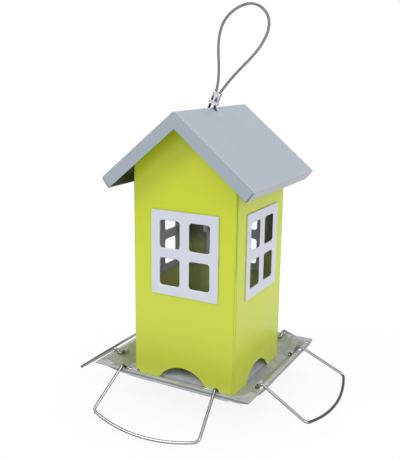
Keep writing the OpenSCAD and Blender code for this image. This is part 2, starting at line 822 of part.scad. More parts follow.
module front_perch() { perch(FRONT, front_tilt, front_perch_s); }
module right_perch() { perch(RIGHT, right_tilt, right_perch_s); }
module back_perch() { perch(BACK, back_tilt, back_perch_s); }
module left_perch() { perch(LEFT, left_tilt, left_perch_s); }

// Fasteners

module strap_rivets() {
    color([0.75, 0.75, 0.77]) for (turn = [RIGHT, LEFT])
        on_side(turn) translate([inner - strap_t, 0, strap_rivet_z])
            rivet(strap_t + wall_t, rivet_d, rivet_head_d, rivet_head_h);
}

module seam_rivets() {
    color([0.75, 0.75, 0.77]) for (z = SEAM_RIVET_Z)
        translate([-half, seam_y, z]) rivet(2 * wall_t, rivet_d, rivet_head_d, rivet_head_h);
}

// Rivets through the wall feet and the tray floor, flush underneath so that the tray stands flat
module foot_rivets() {
    color([0.75, 0.75, 0.77]) for (turn = [RIGHT, LEFT], s = [-foot_s, foot_s])
        on_side(turn) translate([foot_x, s, 0]) rotate([0, -90, 0])
            flush_rivet(tray_t + wall_t, rivet_d, rivet_head_d, rivet_head_h / 2);
}

// Hollow rivets in the rim beside each corner of the tray
module tray_rivets() {
    color([0.75, 0.77, 0.77]) for (turn = [RIGHT, BACK, LEFT, FRONT])
        on_side(turn) tray_rivet_place() difference() {
            rotate([0, -90, 0]) rivet(tray_t, rivet_d, rivet_head_d - 1, rivet_head_h * 0.7);
            cylinder(h = 8, d = rivet_d / 2, center = true, $fn = smooth);
        }
}

house_walls();
front_window_frame();
right_window_frame();
back_window_frame();
left_window_frame();
front_pane();
right_pane();
back_pane();
left_pane();
seed_tray();
seed_deflector();
hanger_strap();
roof();
front_perch();
right_perch();
back_perch();
left_perch();
hanging_cable();
crimp_sleeve();
cable_stops();
strap_rivets();
seam_rivets();
foot_rivets();
tray_rivets();
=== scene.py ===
import json
import math

import bmesh
import bpy
from mathutils import Matrix, Vector


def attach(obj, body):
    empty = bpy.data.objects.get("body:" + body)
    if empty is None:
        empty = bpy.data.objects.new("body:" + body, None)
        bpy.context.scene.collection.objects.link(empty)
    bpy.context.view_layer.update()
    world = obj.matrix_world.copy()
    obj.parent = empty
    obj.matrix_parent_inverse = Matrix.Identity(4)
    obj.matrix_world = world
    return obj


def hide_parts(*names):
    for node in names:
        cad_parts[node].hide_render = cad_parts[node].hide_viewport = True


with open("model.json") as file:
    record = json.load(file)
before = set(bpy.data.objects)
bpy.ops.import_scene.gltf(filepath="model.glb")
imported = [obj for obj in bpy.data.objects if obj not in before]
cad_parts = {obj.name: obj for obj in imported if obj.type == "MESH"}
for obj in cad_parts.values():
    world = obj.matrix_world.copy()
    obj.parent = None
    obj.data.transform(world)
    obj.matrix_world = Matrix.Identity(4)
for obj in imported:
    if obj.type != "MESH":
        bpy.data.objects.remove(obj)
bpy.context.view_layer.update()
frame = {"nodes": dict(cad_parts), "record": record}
scene = bpy.context.scene
scene.view_settings.view_transform = "Standard"

MM = 0.001


# Camera at the photograph's viewing angle

PHOTO_WIDTH, PHOTO_HEIGHT = 400, 460
FOCAL_LENGTH = 678.47  # in the photograph's pixels
AXIS_X, AXIS_Y = 175.42, 226.18  # where the optical axis meets the photograph, in pixels
SENSOR = 36
TARGET = Vector((-36.49, 0.0, 128.82)) * MM
DISTANCE = 631.73 * MM
AZIMUTH, ELEVATION, ROLL = (math.radians(a) for a in (30.07, 13.18, 0.19))


def make_camera():
    back = Vector((
        math.sin(AZIMUTH) * math.cos(ELEVATION),
        -math.cos(AZIMUTH) * math.cos(ELEVATION),
        math.sin(ELEVATION),
    ))
    right = Vector((math.cos(AZIMUTH), math.sin(AZIMUTH), 0))
    up = back.cross(right)
    turned_right = right * math.cos(ROLL) + up * math.sin(ROLL)
    turned_up = up * math.cos(ROLL) - right * math.sin(ROLL)
    data = bpy.data.cameras.new("camera")
    data.sensor_fit = "AUTO"
    data.sensor_width = SENSOR
    data.lens = FOCAL_LENGTH * SENSOR / PHOTO_HEIGHT
    data.shift_x = (PHOTO_WIDTH / 2 - AXIS_X) / PHOTO_HEIGHT
    data.shift_y = (AXIS_Y - PHOTO_HEIGHT / 2) / PHOTO_HEIGHT
    data.clip_start, data.clip_end = 0.01, 20
    camera = bpy.data.objects.new("camera", data)
    scene.collection.objects.link(camera)
    rotation = Matrix((turned_right, turned_up, back)).transposed().to_4x4()
    camera.matrix_world = Matrix.Translation(TARGET + back * DISTANCE) @ rotation
    scene.camera = camera


make_camera()


# Mesh helpers. Sizes here are in millimetres, and become metres in new_object.

def new_object(name, verts, faces, smooth=True, material_of=None):
    """material_of gives each face's material slot, where not all are the first."""
    mesh = bpy.data.meshes.new(name)
    mesh.from_pydata([Vector(v) * MM for v in verts], [], faces)
    mesh.validate()
    for polygon in mesh.polygons:
        polygon.use_smooth = smooth
    if material_of:
        for polygon, slot in zip(mesh.polygons, material_of):
            polygon.material_index = slot
    obj = bpy.data.objects.new(name, mesh)
    scene.collection.objects.link(obj)
    return obj


def outward(obj):
    """Turns every face of a closed mesh to the outside."""
    bm = bmesh.new()
    bm.from_mesh(obj.data)
    bmesh.ops.recalc_face_normals(bm, faces=bm.faces)
    bm.to_mesh(obj.data)
    bm.free()
    return obj


def lofted(rings, closed_ends=True):
    """Vertices and faces of a tube through rings of equal length."""
    sides = len(rings[0])
    verts = [p for ring in rings for p in ring]
    faces = []
    for i in range(len(rings) - 1):
        for k in range(sides):
            a, b = i * sides + k, i * sides + (k + 1) % sides
            faces.append((a, b, b + sides, a + sides))
    if closed_ends:
        last = (len(rings) - 1) * sides
        faces.append(tuple(range(sides - 1, -1, -1)))
        faces.append(tuple(range(last, last + sides)))
    return verts, faces


def tangents(points):
    found = []
    for i in range(len(points)):
        a = points[max(i - 1, 0)]
        b = points[min(i + 1, len(points) - 1)]
        found.append((b - a).normalized())
    return found


def frames_along(points):
    """Tangent, normal and binormal at each point, carried along without twist."""
    found = []
    normal = None
    for t in tangents(points):
        if normal is None:
            normal = t.orthogonal().normalized()
        normal = (normal - t * normal.dot(t)).normalized()
        found.append((t, normal, t.cross(normal)))
    return found


def tube(points, radius, sides):
    """Rings of a round tube along points; radius is a number or a function of the index."""
    rings = []
    for i, (p, (_, n, b)) in enumerate(zip(points, frames_along(points))):
        r = radius(i) if callable(radius) else radius
        rings.append([
            p + r * (math.cos(2 * math.pi * k / sides) * n + math.sin(2 * math.pi * k / sides) * b)
            for k in range(sides)
        ])
    return rings


def add_parts(parts):
    """Joins several (verts, faces) into one."""
    verts, faces = [], []
    for v, f in parts:
        base = len(verts)
        verts += v
        faces += [tuple(i + base for i in face) for face in f]
    return verts, faces


def spline(points, step):
    """Smooth route through the points, in steps of about the given length."""
    route = []
    ends = [points[0] * 2 - points[1]] + list(points) + [points[-1] * 2 - points[-2]]
    for i in range(1, len(ends) - 2):
        p0, p1, p2, p3 = ends[i - 1:i + 3]
        a, b, c = ((p1 - p0).length ** 0.5, (p2 - p1).length ** 0.5, (p3 - p2).length ** 0.5)
        m1 = (p2 - p1) + b * ((p1 - p0) / a - (p2 - p0) / (a + b))
        m2 = (p2 - p1) + b * ((p3 - p2) / c - (p3 - p1) / (b + c))
        n = max(1, round((p2 - p1).length / step))
        for k in range(n):
            t = k / n
            route.append(
                p1 * (2 * t ** 3 - 3 * t ** 2 + 1) + m1 * (t ** 3 - 2 * t ** 2 + t)
                + p2 * (3 * t ** 2 - 2 * t ** 3) + m2 * (t ** 3 - t ** 2)
            )
    route.append(points[-1].copy())
    return route


def rounded(p, q, s, radius, n):
    """Arc that rounds the corner at q between p and s."""
    u, w = (p - q).normalized(), (s - q).normalized()
    half_angle = u.angle(w) / 2
    centre = q + (u + w).normalized() * radius / math.sin(half_angle)
    start = (q + u * radius / math.tan(half_angle) - centre).normalized()
    sweep = math.pi - 2 * half_angle
    return [
        centre + radius * (math.cos(sweep * i / n) * start - math.sin(sweep * i / n) * u)
        for i in range(n + 1)
    ]


# The steel cable and its crimped fittings

LEG_X = 3.25
CABLE_END = 137.5
# x and z of the cable's middle line, from one stop over the loop to the other
CABLE_ROUTE = [
    (-LEG_X, CABLE_END), (-LEG_X, 160), (-LEG_X, 180), (-LEG_X, 210), (-LEG_X, 232), (-LEG_X, 238.6),
    (-1.7, 242.1), (3.7, 253.9),
    (5, 259), (5.6, 265), (5.8, 271), (5.4, 280), (5, 289), (5.6, 297.5), (7.2, 304.5),
    (10, 310.5), (14.3, 315.6), (20, 319.8), (26.5, 322.6), (33.3, 323.8), (39.5, 322.6),
    (45, 319.1), (48.8, 314.2), (50.4, 308), (49.4, 301), (46, 294), (41.5, 287.4),
    (35.3, 280.6), (27.8, 273.6), (20.8, 266.8), (14.4, 260), (10, 254.8), (7.8, 252),
    (2.4, 240.2), (LEG_X, 236.6),
    (LEG_X, 232), (LEG_X, 210), (LEG_X, 180), (LEG_X, 160), (LEG_X, CABLE_END),
]
CABLE_R = 1.2
LAY = 15.0  # length of one turn of a strand
STRANDS = 6
ROUTE_STEP = 1.0


def make_cable():
    """Six strands laid round a middle one. Also gives the route and its length."""
    route = spline([Vector((x, 0, z)) for x, z in CABLE_ROUTE], ROUTE_STEP)
    along = [0.0]
    for a, b in zip(route, route[1:]):
        along.append(along[-1] + (b - a).length)
    strand_r = CABLE_R / 3
    frames = frames_along(route)
    parts = [lofted(tube(route, strand_r, 6))]
    for s in range(STRANDS):
        line = []
        for p, (_, n, b), d in zip(route, frames, along):
            a = 2 * math.pi * (s / STRANDS + d / LAY)
            line.append(p + (CABLE_R - strand_r) * (math.cos(a) * n + math.sin(a) * b))
        parts.append(lofted(tube(line, strand_r, 8)))
    obj = new_object("wire_rope", *add_parts(parts))
    return obj, route, along[-1]


SLEEVE_MID = Vector((3.05, 0, 247.05))
SLEEVE_TILT = math.atan2(5.4, 11.8)
BAND_TOP, BARREL_BOTTOM = -2.3, -2.1
POCKET_LEN, POCKET_DEPTH = 6.0, 0.95
POCKET_X = 2.24 * 0.92
SHADED_DENT = 0.24  # a face pressed in deeper than this takes the second material, a painted shade


def make_sleeve():
    """Sleeve for two ropes: a full square band at the bottom, and a pressed pocket on each barrel above it."""
    stations = [
        # height, half width, half depth, squareness
        (-5.5, 4.2, 1.95, 3.6), (-5.42, 4.42, 2.2, 4.2), (-5.25, 4.55, 2.32, 4.6), (-5.0, 4.6, 2.36, 5.0),
        (-4.4, 4.62, 2.38, 5.0), (-3.6, 4.62, 2.38, 5.0), (-2.9, 4.62, 2.38, 5.0), (-2.65, 4.58, 2.36, 4.6),
        (-2.45, 4.42, 2.26, 4.0), (-2.3, 4.2, 2.12, 3.4), (-2.1, 4.12, 2.05, 3.2), (-1.8, 4.1, 2.05, 3.0),
        (-1.4, 4.08, 2.08, 3.0), (-1.0, 4.06, 2.1, 3.0), (-0.5, 4.04, 2.12, 3.0), (0, 4.02, 2.14, 3.0),
        (0.6, 4.0, 2.16, 3.0), (1.2, 3.98, 2.18, 3.0), (1.8, 3.96, 2.2, 3.0), (2.5, 3.94, 2.22, 3.0),
        (3.2, 3.92, 2.24, 3.0), (4.0, 3.9, 2.26, 3.0), (4.8, 3.9, 2.26, 3.0), (5.2, 3.86, 2.2, 3.0),
        (5.42, 3.74, 2.06, 3.0), (5.5, 3.5, 1.85, 3.0),
    ]
    sides = 112
    turn = Matrix.Rotation(SLEEVE_TILT, 4, "Y")
    rings, dents = [], []
    for z, half_x, half_y, square in stations:
        height = min(max((z - BAND_TOP) / POCKET_LEN, 0.0), 1.0)
        deep = 0.0 if z < BAND_TOP else POCKET_DEPTH * (1 - height) ** 0.7
        reach = 1.75 * (1 - height) + 0.2
        ring, row = [], []
        for k in range(sides):
            a = 2 * math.pi * k / sides
            c, d = math.cos(a), math.sin(a)
            x = half_x * math.copysign(abs(c) ** (2 / square), c)
            y = half_y * math.copysign(abs(d) ** (2 / square), d)
            dent = deep * max(0.0, 1 - abs(abs(x) - POCKET_X) / reach) * abs(y) / half_y
            y -= math.copysign(min(dent, abs(y) * 0.6), y)
            ring.append(SLEEVE_MID + turn @ Vector((x, y, z)))
            # Painted shade: the barrels' side edges above the band take the second material too.
            on_edge = z > BARREL_BOTTOM and abs(x) > 0.955 * half_x
            row.append(1.0 if on_edge else dent)
        rings.append(ring)
        dents.append(row)
    verts, faces = lofted(rings)
    shaded = [
        int(len(face) == 4 and sum(dents[i // sides][i % sides] for i in face) / 4 > SHADED_DENT)
        for face in faces
    ]
    shaded[-2] = 1  # the lower end, in painted shade too
    return outward(new_object("pressed_sleeve", verts, faces, material_of=shaded))


def lathe(profile, sides, place):
    """Rings of a turned piece. place takes the turned point to where it belongs."""
    return [
        [place(Vector((r * math.cos(2 * math.pi * k / sides), r * math.sin(2 * math.pi * k / sides), z)))
         for k in range(sides)]
        for r, z in profile
    ]


STOP_Z = 136.3


def make_stops():
    profile = [
        # radius, height
        (1.6, 0), (2.2, 0.1), (2.55, 0.4), (2.65, 0.9), (2.65, 1.8), (2.5, 2.2), (2.25, 2.5), (2.2, 3.0),
        (2.35, 3.4), (2.6, 3.8), (2.65, 4.4), (2.65, 5.6), (2.6, 6.2), (2.35, 6.6), (2.2, 7.0),
        (2.25, 7.5), (2.5, 7.8), (2.65, 8.2), (2.65, 9.1), (2.55, 9.6), (2.2, 9.9), (1.4, 10),
    ]
    parts = [
        lofted(lathe(profile, 36, lambda p, x=x: p + Vector((x, 0, STOP_Z))))
        for x in (-LEG_X, LEG_X)
    ]
    return outward(new_object("crimped_stops", *add_parts(parts)))


cable, cable_route, cable_length = make_cable()
sleeve = make_sleeve()
stops = make_stops()
for piece in (cable, sleeve, stops):
    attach(piece, "hanger")
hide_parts("hanging_cable")
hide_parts("crimp_sleeve")
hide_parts("cable_stops")


# Perches

PIN_R, PIN_Z = 68.4, 11.392  # the pins' distance from the middle, and their height
RIM_REACH = 5.4
RIM_RISE = math.radians(44.5)
OVER_R = PIN_R + RIM_REACH
OVER_Z = PIN_Z + RIM_REACH * math.tan(RIM_RISE)
ARM_S, CORNER_S, ARM_LEN, BOW = 45.7, 50.8, 47.0, 8.5
PIN_IN = 31.8
PIN_BEND, RIM_BEND, CORNER_BEND = 2.6, 3, 5
WIRE_R = 1.25
TURNS = {"right": 0, "back": 90, "left": 180, "front": 270}
TILTS = {"front": 36.6, "right": 27.3, "back": 30.0, "left": 35.0}
SHIFTS = {"front": -1.3, "right": -0.9, "back": 0.0, "left": 0.6}


def make_perch(side):
    """Bent wire: a pin inwards at each end, an arm over the rim, and a bowed bar between the arms' far ends."""
    tilt = math.radians(TILTS[side])
    out = Vector((math.cos(tilt), 0, -math.sin(tilt)))
    across = Vector((0, 1, 0))
    pin = Vector((PIN_R, 0, PIN_Z))
    rim = Vector((OVER_R, 0, OVER_Z))
    end = rim + ARM_LEN * out
    slope = 2 * math.atan2(BOW, CORNER_S)
    crown = end + CORNER_S * math.tan(slope) * out
    corner_turn = math.pi / 2 - slope + math.asin((CORNER_S - ARM_S) / ARM_LEN)
    crown_bend = (CORNER_S / math.cos(slope) - CORNER_BEND * math.tan(corner_turn / 2) - 1.5) / math.tan(slope)
    a = [pin - PIN_IN * across, pin - ARM_S * across, rim - ARM_S * across, end - CORNER_S * across]
    b = [pin + PIN_IN * across, pin + ARM_S * across, rim + ARM_S * across, end + CORNER_S * across]
    path = [a[0], a[0] - 3 * across]
    path += rounded(a[0], a[1], a[2], PIN_BEND, 8)
    path += rounded(a[1], a[2], a[3], RIM_BEND, 8)
    path += [a[2].lerp(a[3], t) for t in (0.3, 0.5, 0.7)]
    path += rounded(a[2], a[3], crown, CORNER_BEND, 12)
    path += rounded(a[3], crown, b[3], crown_bend, 36)
    path += rounded(crown, b[3], b[2], CORNER_BEND, 12)
    path += [b[3].lerp(b[2], t) for t in (0.3, 0.5, 0.7)]
    path += rounded(b[3], b[2], b[1], RIM_BEND, 8)
    path += rounded(b[2], b[1], b[0], PIN_BEND, 8)
    path += [b[0] + 3 * across, b[0]]
    # rounded cut ends: distance from the end, and the wire's radius there
    caps = [(0.0, 0.55), (0.12, 0.85), (0.4, 1.12), (0.8, WIRE_R)]
    wire = [(path[0] - across * d, r) for d, r in caps]
    wire += [(p, WIRE_R) for p in path[1:-1]]
    wire += [(path[-1] + across * d, r) for d, r in reversed(caps)]
    turn = Matrix.Rotation(math.radians(TURNS[side]), 4, "Z")
    points = [turn @ (p + SHIFTS[side] * across) for p, _ in wire]
    radii = [r for _, r in wire]
    obj = outward(new_object(side + "_bail", *lofted(tube(points, lambda i: radii[i], 20))))
    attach(obj, side + "_bail")
    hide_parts(side + "_perch")
    return obj


perches = {side: make_perch(side) for side in TURNS}


# Sheet-metal pieces: copies of the CAD solids with their edges rounded over

WELD = 2e-6  # in metres, as the solids' meshes are
FLAT_ANGLE, FOLD_ANGLE, SHARP_ANGLE = (math.radians(a) for a in (0.6, 22, 38))


def softened(node, name, width, shortest):
    """A copy of a node whose edges longer than the shortest are rounded by the width, both in millimetres."""
    mesh = frame["nodes"][node].data.copy()
    mesh.materials.clear()
    bm = bmesh.new()
    bm.from_mesh(mesh)
    bmesh.ops.remove_doubles(bm, verts=bm.verts, dist=WELD)
    bmesh.ops.dissolve_limit(bm, angle_limit=FLAT_ANGLE, verts=bm.verts, edges=bm.edges)
    folds = [
        e for e in bm.edges
        if len(e.link_faces) == 2 and e.calc_face_angle() > FOLD_ANGLE and e.calc_length() > shortest * MM
    ]
    bmesh.ops.bevel(
        bm, geom=folds, offset=width * MM, offset_type="OFFSET", segments=2, profile=0.5,
        affect="EDGES", clamp_overlap=False, loop_slide=True,
    )
    bmesh.ops.remove_doubles(bm, verts=bm.verts, dist=WELD)
    bm.to_mesh(mesh)
    bm.free()
    mesh.validate()
    for polygon in mesh.polygons:
        polygon.use_smooth = True
    mesh.set_sharp_from_angle(angle=SHARP_ANGLE)
    obj = bpy.data.objects.new(name, mesh)
    scene.collection.objects.link(obj)
    obj.modifiers.new("even_shading", "WEIGHTED_NORMAL").keep_sharp = True
    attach(obj, BODY_OF[node])
    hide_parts(node)
    return obj


BODY_OF = {node: body for body, nodes in frame["record"]["behaviour"]["bodies"].items() for node in nodes}
SHEETS = {
    # node: name, width of its rounded edges, shortest edge that is rounded
    "house_walls": ("painted_walls", 0.22, 1.2),
    "roof": ("painted_roof", 0.3, 1.2),
    "seed_tray": ("folded_tray", 0.25, 1.2),
    "seed_deflector": ("folded_deflector", 0.2, 1.2),
    "hanger_strap": ("bent_strap", 0.3, 1.2),
    "front_window_frame": ("front_frame", 0.4, 0.3),
    "right_window_frame": ("right_frame", 0.4, 0.3),
    "back_window_frame": ("back_frame", 0.4, 0.3),
    "left_window_frame": ("left_frame", 0.4, 0.3),
}
sheets = {node: softened(node, *how) for node, how in SHEETS.items()}


def mark_openings(side):
    """Gives the rounded rims of a frame's openings the second material slot, a painted highlight, and their cut sides
    the third, a painted shade.
    """
    out = Matrix.Rotation(math.radians(TURNS[side]), 3, "Z") @ Vector((1, 0, 0))
    across = Vector((-out.y, out.x, 0))
    mesh = sheets[side + "_window_frame"].data
    spots = [v.co.dot(across) for v in mesh.vertices]
    heights = [v.co.z for v in mesh.vertices]
    middle, half = (min(spots) + max(spots)) / 2, (max(spots) - min(spots)) / 2
    mid_z, half_z = (min(heights) + max(heights)) / 2, (max(heights) - min(heights)) / 2
    margin = 3 * MM
    edge_on, face_on = 0.15, 0.97
    for polygon in mesh.polygons:
        inner = abs(polygon.center.dot(across) - middle) < half - margin
        inner = inner and abs(polygon.center.z - mid_z) < half_z - margin
        facing = polygon.normal.dot(out)
        if inner and edge_on < facing < face_on:
            polygon.material_index = 1
        elif inner and abs(facing) <= edge_on:
            polygon.material_index = 2


for side in TURNS:
    mark_openings(side)


# Rivets with pressed, rounded heads

def islands(node):
    """Lowest and highest corner of each separate solid of a node, in millimetres."""
    bm = bmesh.new()
    bm.from_mesh(frame["nodes"][node].data)
    bmesh.ops.remove_doubles(bm, verts=bm.verts, dist=WELD)
    left, found = set(bm.verts), []
    while left:
        group, edge = [], [left.pop()]
        while edge:
            v = edge.pop()
            group.append(v.co / MM)
            for e in v.link_edges:
                w = e.other_vert(v)
                if w in left:
                    left.discard(w)
                    edge.append(w)
        low = Vector([min(p[i] for p in group) for i in range(3)])
        high = Vector([max(p[i] for p in group) for i in range(3)])
        found.append((low, high))
    bm.free()
    return sorted(found, key=lambda pair: tuple(pair[0]))


def make_rivets(node, name, profile):
    """profile gives the turned outline for a rivet of the length and head radius that its solid has."""
    parts = []
    for low, high in islands(node):
        size = high - low
        axis = min(range(3), key=lambda i: size[i])
        middle = (low + high) / 2
        spin = Vector([float(i == axis) for i in range(3)]).to_track_quat("Z", "Y").to_matrix()
        rings = lathe(profile(size[axis] / 2, max(size) / 2), 40, lambda p, m=middle, t=spin: m + t @ p)
        parts.append(lofted(rings, closed_ends=rings[0] != rings[-1]))
    obj = outward(new_object(name, *add_parts(parts)))
    obj.data.set_sharp_from_angle(angle=math.radians(50))
    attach(obj, BODY_OF[node])
    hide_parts(node)
    return obj


SHANK_R = 1.45


def solid_rivet(half, head):
    """Round head on both ends, with a small upset dimple. half is half the length, and head the head's radius."""
    side = [
        (0.25, half - 0.18), (head * 0.3, half - 0.04), (head * 0.55, half - 0.12), (head * 0.78, half - 0.32),
        (head * 0.93, half - 0.62), (head - 0.02, half - 0.85), (head - 0.12, half - 0.98), (SHANK_R, half - 0.99),
    ]
    return side + [(r, -z) for r, z in reversed(side)]


def flush_rivet(half, head):
    """Round head on the upper end, flat and level with the sheet at the lower end."""
    return [
        (0.2, half - 0.03), (head * 0.5, half - 0.06), (head * 0.8, half - 0.16), (head * 0.96, half - 0.34),
        (head - 0.04, half - 0.48), (SHANK_R, half - 0.49), (SHANK_R, -half + 0.1), (SHANK_R - 0.15, -half + 0.01),
        (0.2, -half),
    ]


def hollow_rivet(half, head):
    """Rolled rim on both ends of an open tube."""
    bore = 0.78
    lip = [
        (bore, half - 0.35), (bore + 0.08, half - 0.12), (bore + 0.35, half - 0.01), (head * 0.62, half - 0.02),
        (head * 0.84, half - 0.14), (head * 0.97, half - 0.36), (head - 0.04, half - 0.6), (SHANK_R, half - 0.69),
    ]
    ring = lip + [(r, -z) for r, z in reversed(lip)]
    return ring + [ring[0]]


rivets = [
    make_rivets("strap_rivets", "strap_rivet_heads", solid_rivet),
    make_rivets("seam_rivets", "seam_rivet_heads", solid_rivet),
    make_rivets("foot_rivets", "foot_rivet_heads", flush_rivet),
    make_rivets("tray_rivets", "tray_eyelets", hollow_rivet),
]


# Materials

def srgb(r, g, b):
    def linear(v):
        v /= 255
        return v / 12.92 if v <= 0.04045 else ((v + 0.055) / 1.055) ** 2.4
    return (linear(r), linear(g), linear(b), 1)


class Nodes:
    """A material's node tree, with short calls for the nodes used here."""

    def __init__(self, name):
        self.material = bpy.data.materials.new(name)
        self.material.use_nodes = True
        self.tree = self.material.node_tree
        self.shader = self.tree.nodes["Principled BSDF"]
        self.output = self.tree.nodes["Material Output"]
        self.place = self.add("ShaderNodeTexCoord").outputs["Object"]

    def add(self, kind, **values):
        node = self.tree.nodes.new(kind)
        for key, value in values.items():
            setattr(node, key, value)
        return node

    def link(self, a, b):
        self.tree.links.new(a, b)

    def feed(self, socket, value):
        if isinstance(value, bpy.types.NodeSocket):
            self.link(value, socket)
        else:
            socket.default_value = value

    def set(self, **values):
        for key, value in values.items():
            self.feed(self.shader.inputs[key.replace("_", " ")], value)

    def stretched(self, x=1, y=1, z=1):
        node = self.add("ShaderNodeMapping")
        node.inputs["Scale"].default_value = (x, y, z)
        self.link(self.place, node.inputs["Vector"])
        return node.outputs["Vector"]

    def noise(self, scale, detail, roughness, vector=None):
        node = self.add("ShaderNodeTexNoise")
        node.inputs["Scale"].default_value = scale
        node.inputs["Detail"].default_value = detail
        node.inputs["Roughness"].default_value = roughness
        self.link(vector or self.place, node.inputs["Vector"])
        return node.outputs["Fac"]

    def cells(self, scale):
        node = self.add("ShaderNodeTexVoronoi")
        node.inputs["Scale"].default_value = scale
        self.link(self.place, node.inputs["Vector"])
        return node.outputs["Color"]

    def ramp(self, value, *stops):
        """Each stop is (position, grey)."""
        node = self.add("ShaderNodeValToRGB")
        elements = node.color_ramp.elements
        while len(elements) < len(stops):
            elements.new(0.5)
        for element, (position, grey) in zip(elements, stops):
            element.position = position
            element.color = (grey, grey, grey, 1)
        self.link(value, node.inputs["Fac"])
        return node.outputs["Color"]

    def map(self, value, low, high, to_low, to_high):
        node = self.add("ShaderNodeMapRange")
        for key, v in (("From Min", low), ("From Max", high), ("To Min", to_low), ("To Max", to_high)):
            node.inputs[key].default_value = v
        self.link(value, node.inputs["Value"])
        return node.outputs["Result"]

    def math(self, operation, a, b=0.0):
        node = self.add("ShaderNodeMath", operation=operation)
        self.feed(node.inputs[0], a)
        self.feed(node.inputs[1], b)
        return node.outputs[0]

    def mix(self, factor, a, b):
        node = self.add("ShaderNodeMix", data_type="RGBA")
        self.feed(node.inputs[0], factor)
        self.feed(node.inputs[6], a)
        self.feed(node.inputs[7], b)
        return node.outputs[2]

    def axes(self):
        node = self.add("ShaderNodeSeparateXYZ")
        self.link(self.place, node.inputs[0])
        return node.outputs

    def mirrored_axes(self):
        """Distances from the two upright middle planes, and the height."""
        x, y, z = self.axes()
        return self.math("ABSOLUTE", x), self.math("ABSOLUTE", y), z

    def near(self, value, middle, inside, outside, most):
        """A band round middle: most within inside of it, fading to nothing at outside."""
        off = self.math("ABSOLUTE", self.math("SUBTRACT", value, middle))
        return self.map(off, inside, outside, most, 0.0)

    def radius(self, x, y):
        return self.math("POWER", self.math("ADD", self.math("MULTIPLY", x, x), self.math("MULTIPLY", y, y)), 0.5)

    def bump(self, *layers):
        """Each layer is (height, strength, distance in metres)."""
        normal = None
        for height, strength, distance in layers:
            node = self.add("ShaderNodeBump")
            node.inputs["Strength"].default_value = strength
            node.inputs["Distance"].default_value = distance
            self.link(height, node.inputs["Height"])
            if normal:
                self.link(normal, node.inputs["Normal"])
            normal = node.outputs["Normal"]
        self.link(normal, self.shader.inputs["Normal"])


def paint(name, colour, shade, roughness, coat, peel=0.04, wave=0.25, metallic=0.0, gloss=0.5, places=None):
    """Baked enamel on sheet metal: faint orange peel, slow waves in the sheet, dust and fine scuffs.

    places changes the colour at set places on the piece; here it paints shade and highlights into it.
    """
    n = Nodes(name)
    cloud = n.noise(14, 4, 0.6)
    scuff = n.noise(90, 6, 0.75, n.stretched(1, 1, 0.35))
    fine = n.ramp(scuff, (0.0, 0.0), (0.6, 0.0), (0.78, 1.0))
    base = n.mix(n.map(cloud, 0.3, 0.7, 0.0, 1.0), colour, shade)
    if places:
        base = places(n, base)
    base = n.mix(n.math("MULTIPLY", fine, 0.05), base, (0.75, 0.75, 0.7, 1))
    n.set(Base_Color=base, Metallic=metallic)
    uneven = n.map(cloud, 0.2, 0.8, roughness - 0.03, roughness + 0.04)
    n.set(Roughness=n.math("ADD", uneven, n.math("MULTIPLY", fine, 0.08)))
    n.set(Coat_Weight=coat, Coat_Roughness=0.12, Specular_IOR_Level=gloss)
    n.bump(
        (n.noise(9, 2, 0.4), wave, 0.004),
        (n.noise(900, 2, 0.5), peel, 0.0003),
    )
    return n.material


# Places on the object where painted shade and painted highlights begin or end, in metres
WALL_FOLD, WALL_INSIDE = 0.0484, 0.04935
ROOF_PITCH = math.radians(39.6)
RIDGE_TOP = 0.2397
GABLE_FOLD, GABLE_FACE = 0.0658, 0.0664
EAVE_FOLD, EAVE_FACE = 0.0701, -0.06038  # EAVE_FACE is measured down the slope, as along in roof_places
HEM_FACE, HEM_MIDDLE = 0.0759, 0.0121


def lime_places(n, base):
    """Painted shade inside the hopper, deepest in its upper part; painted light from below on the walls' lower part;
    and a painted dark line of shade along each folded corner.
    """
    x, y, z = n.mirrored_axes()
    wide, narrow = n.math("MAXIMUM", x, y), n.math("MINIMUM", x, y)
    # Painted light from below: paler towards the bottom, and paler still in the lowest few millimetres.
    base = n.mix(n.map(z, 0.07, 0.15, 0.7, 0.0), base, srgb(206, 218, 72))
    base = n.mix(n.map(z, 0.002, 0.027, 0.88, 0.0), base, srgb(240, 249, 96))
    # Painted shade: a fine dark line on each wall face where its corner fold begins.
    base = n.mix(n.near(narrow, WALL_FOLD, 0.0002, 0.0006, 0.22), base, srgb(118, 128, 20))
    # Painted shade inside the hopper: a light lime low down, turning dark olive above 0.1 m.
    inner = n.mix(n.map(z, 0.1, 0.112, 0.0, 1.0), srgb(202, 210, 108), srgb(92, 97, 32))
    return n.mix(n.map(wide, WALL_INSIDE, WALL_INSIDE + 0.00005, 1.0, 0.0), base, inner)


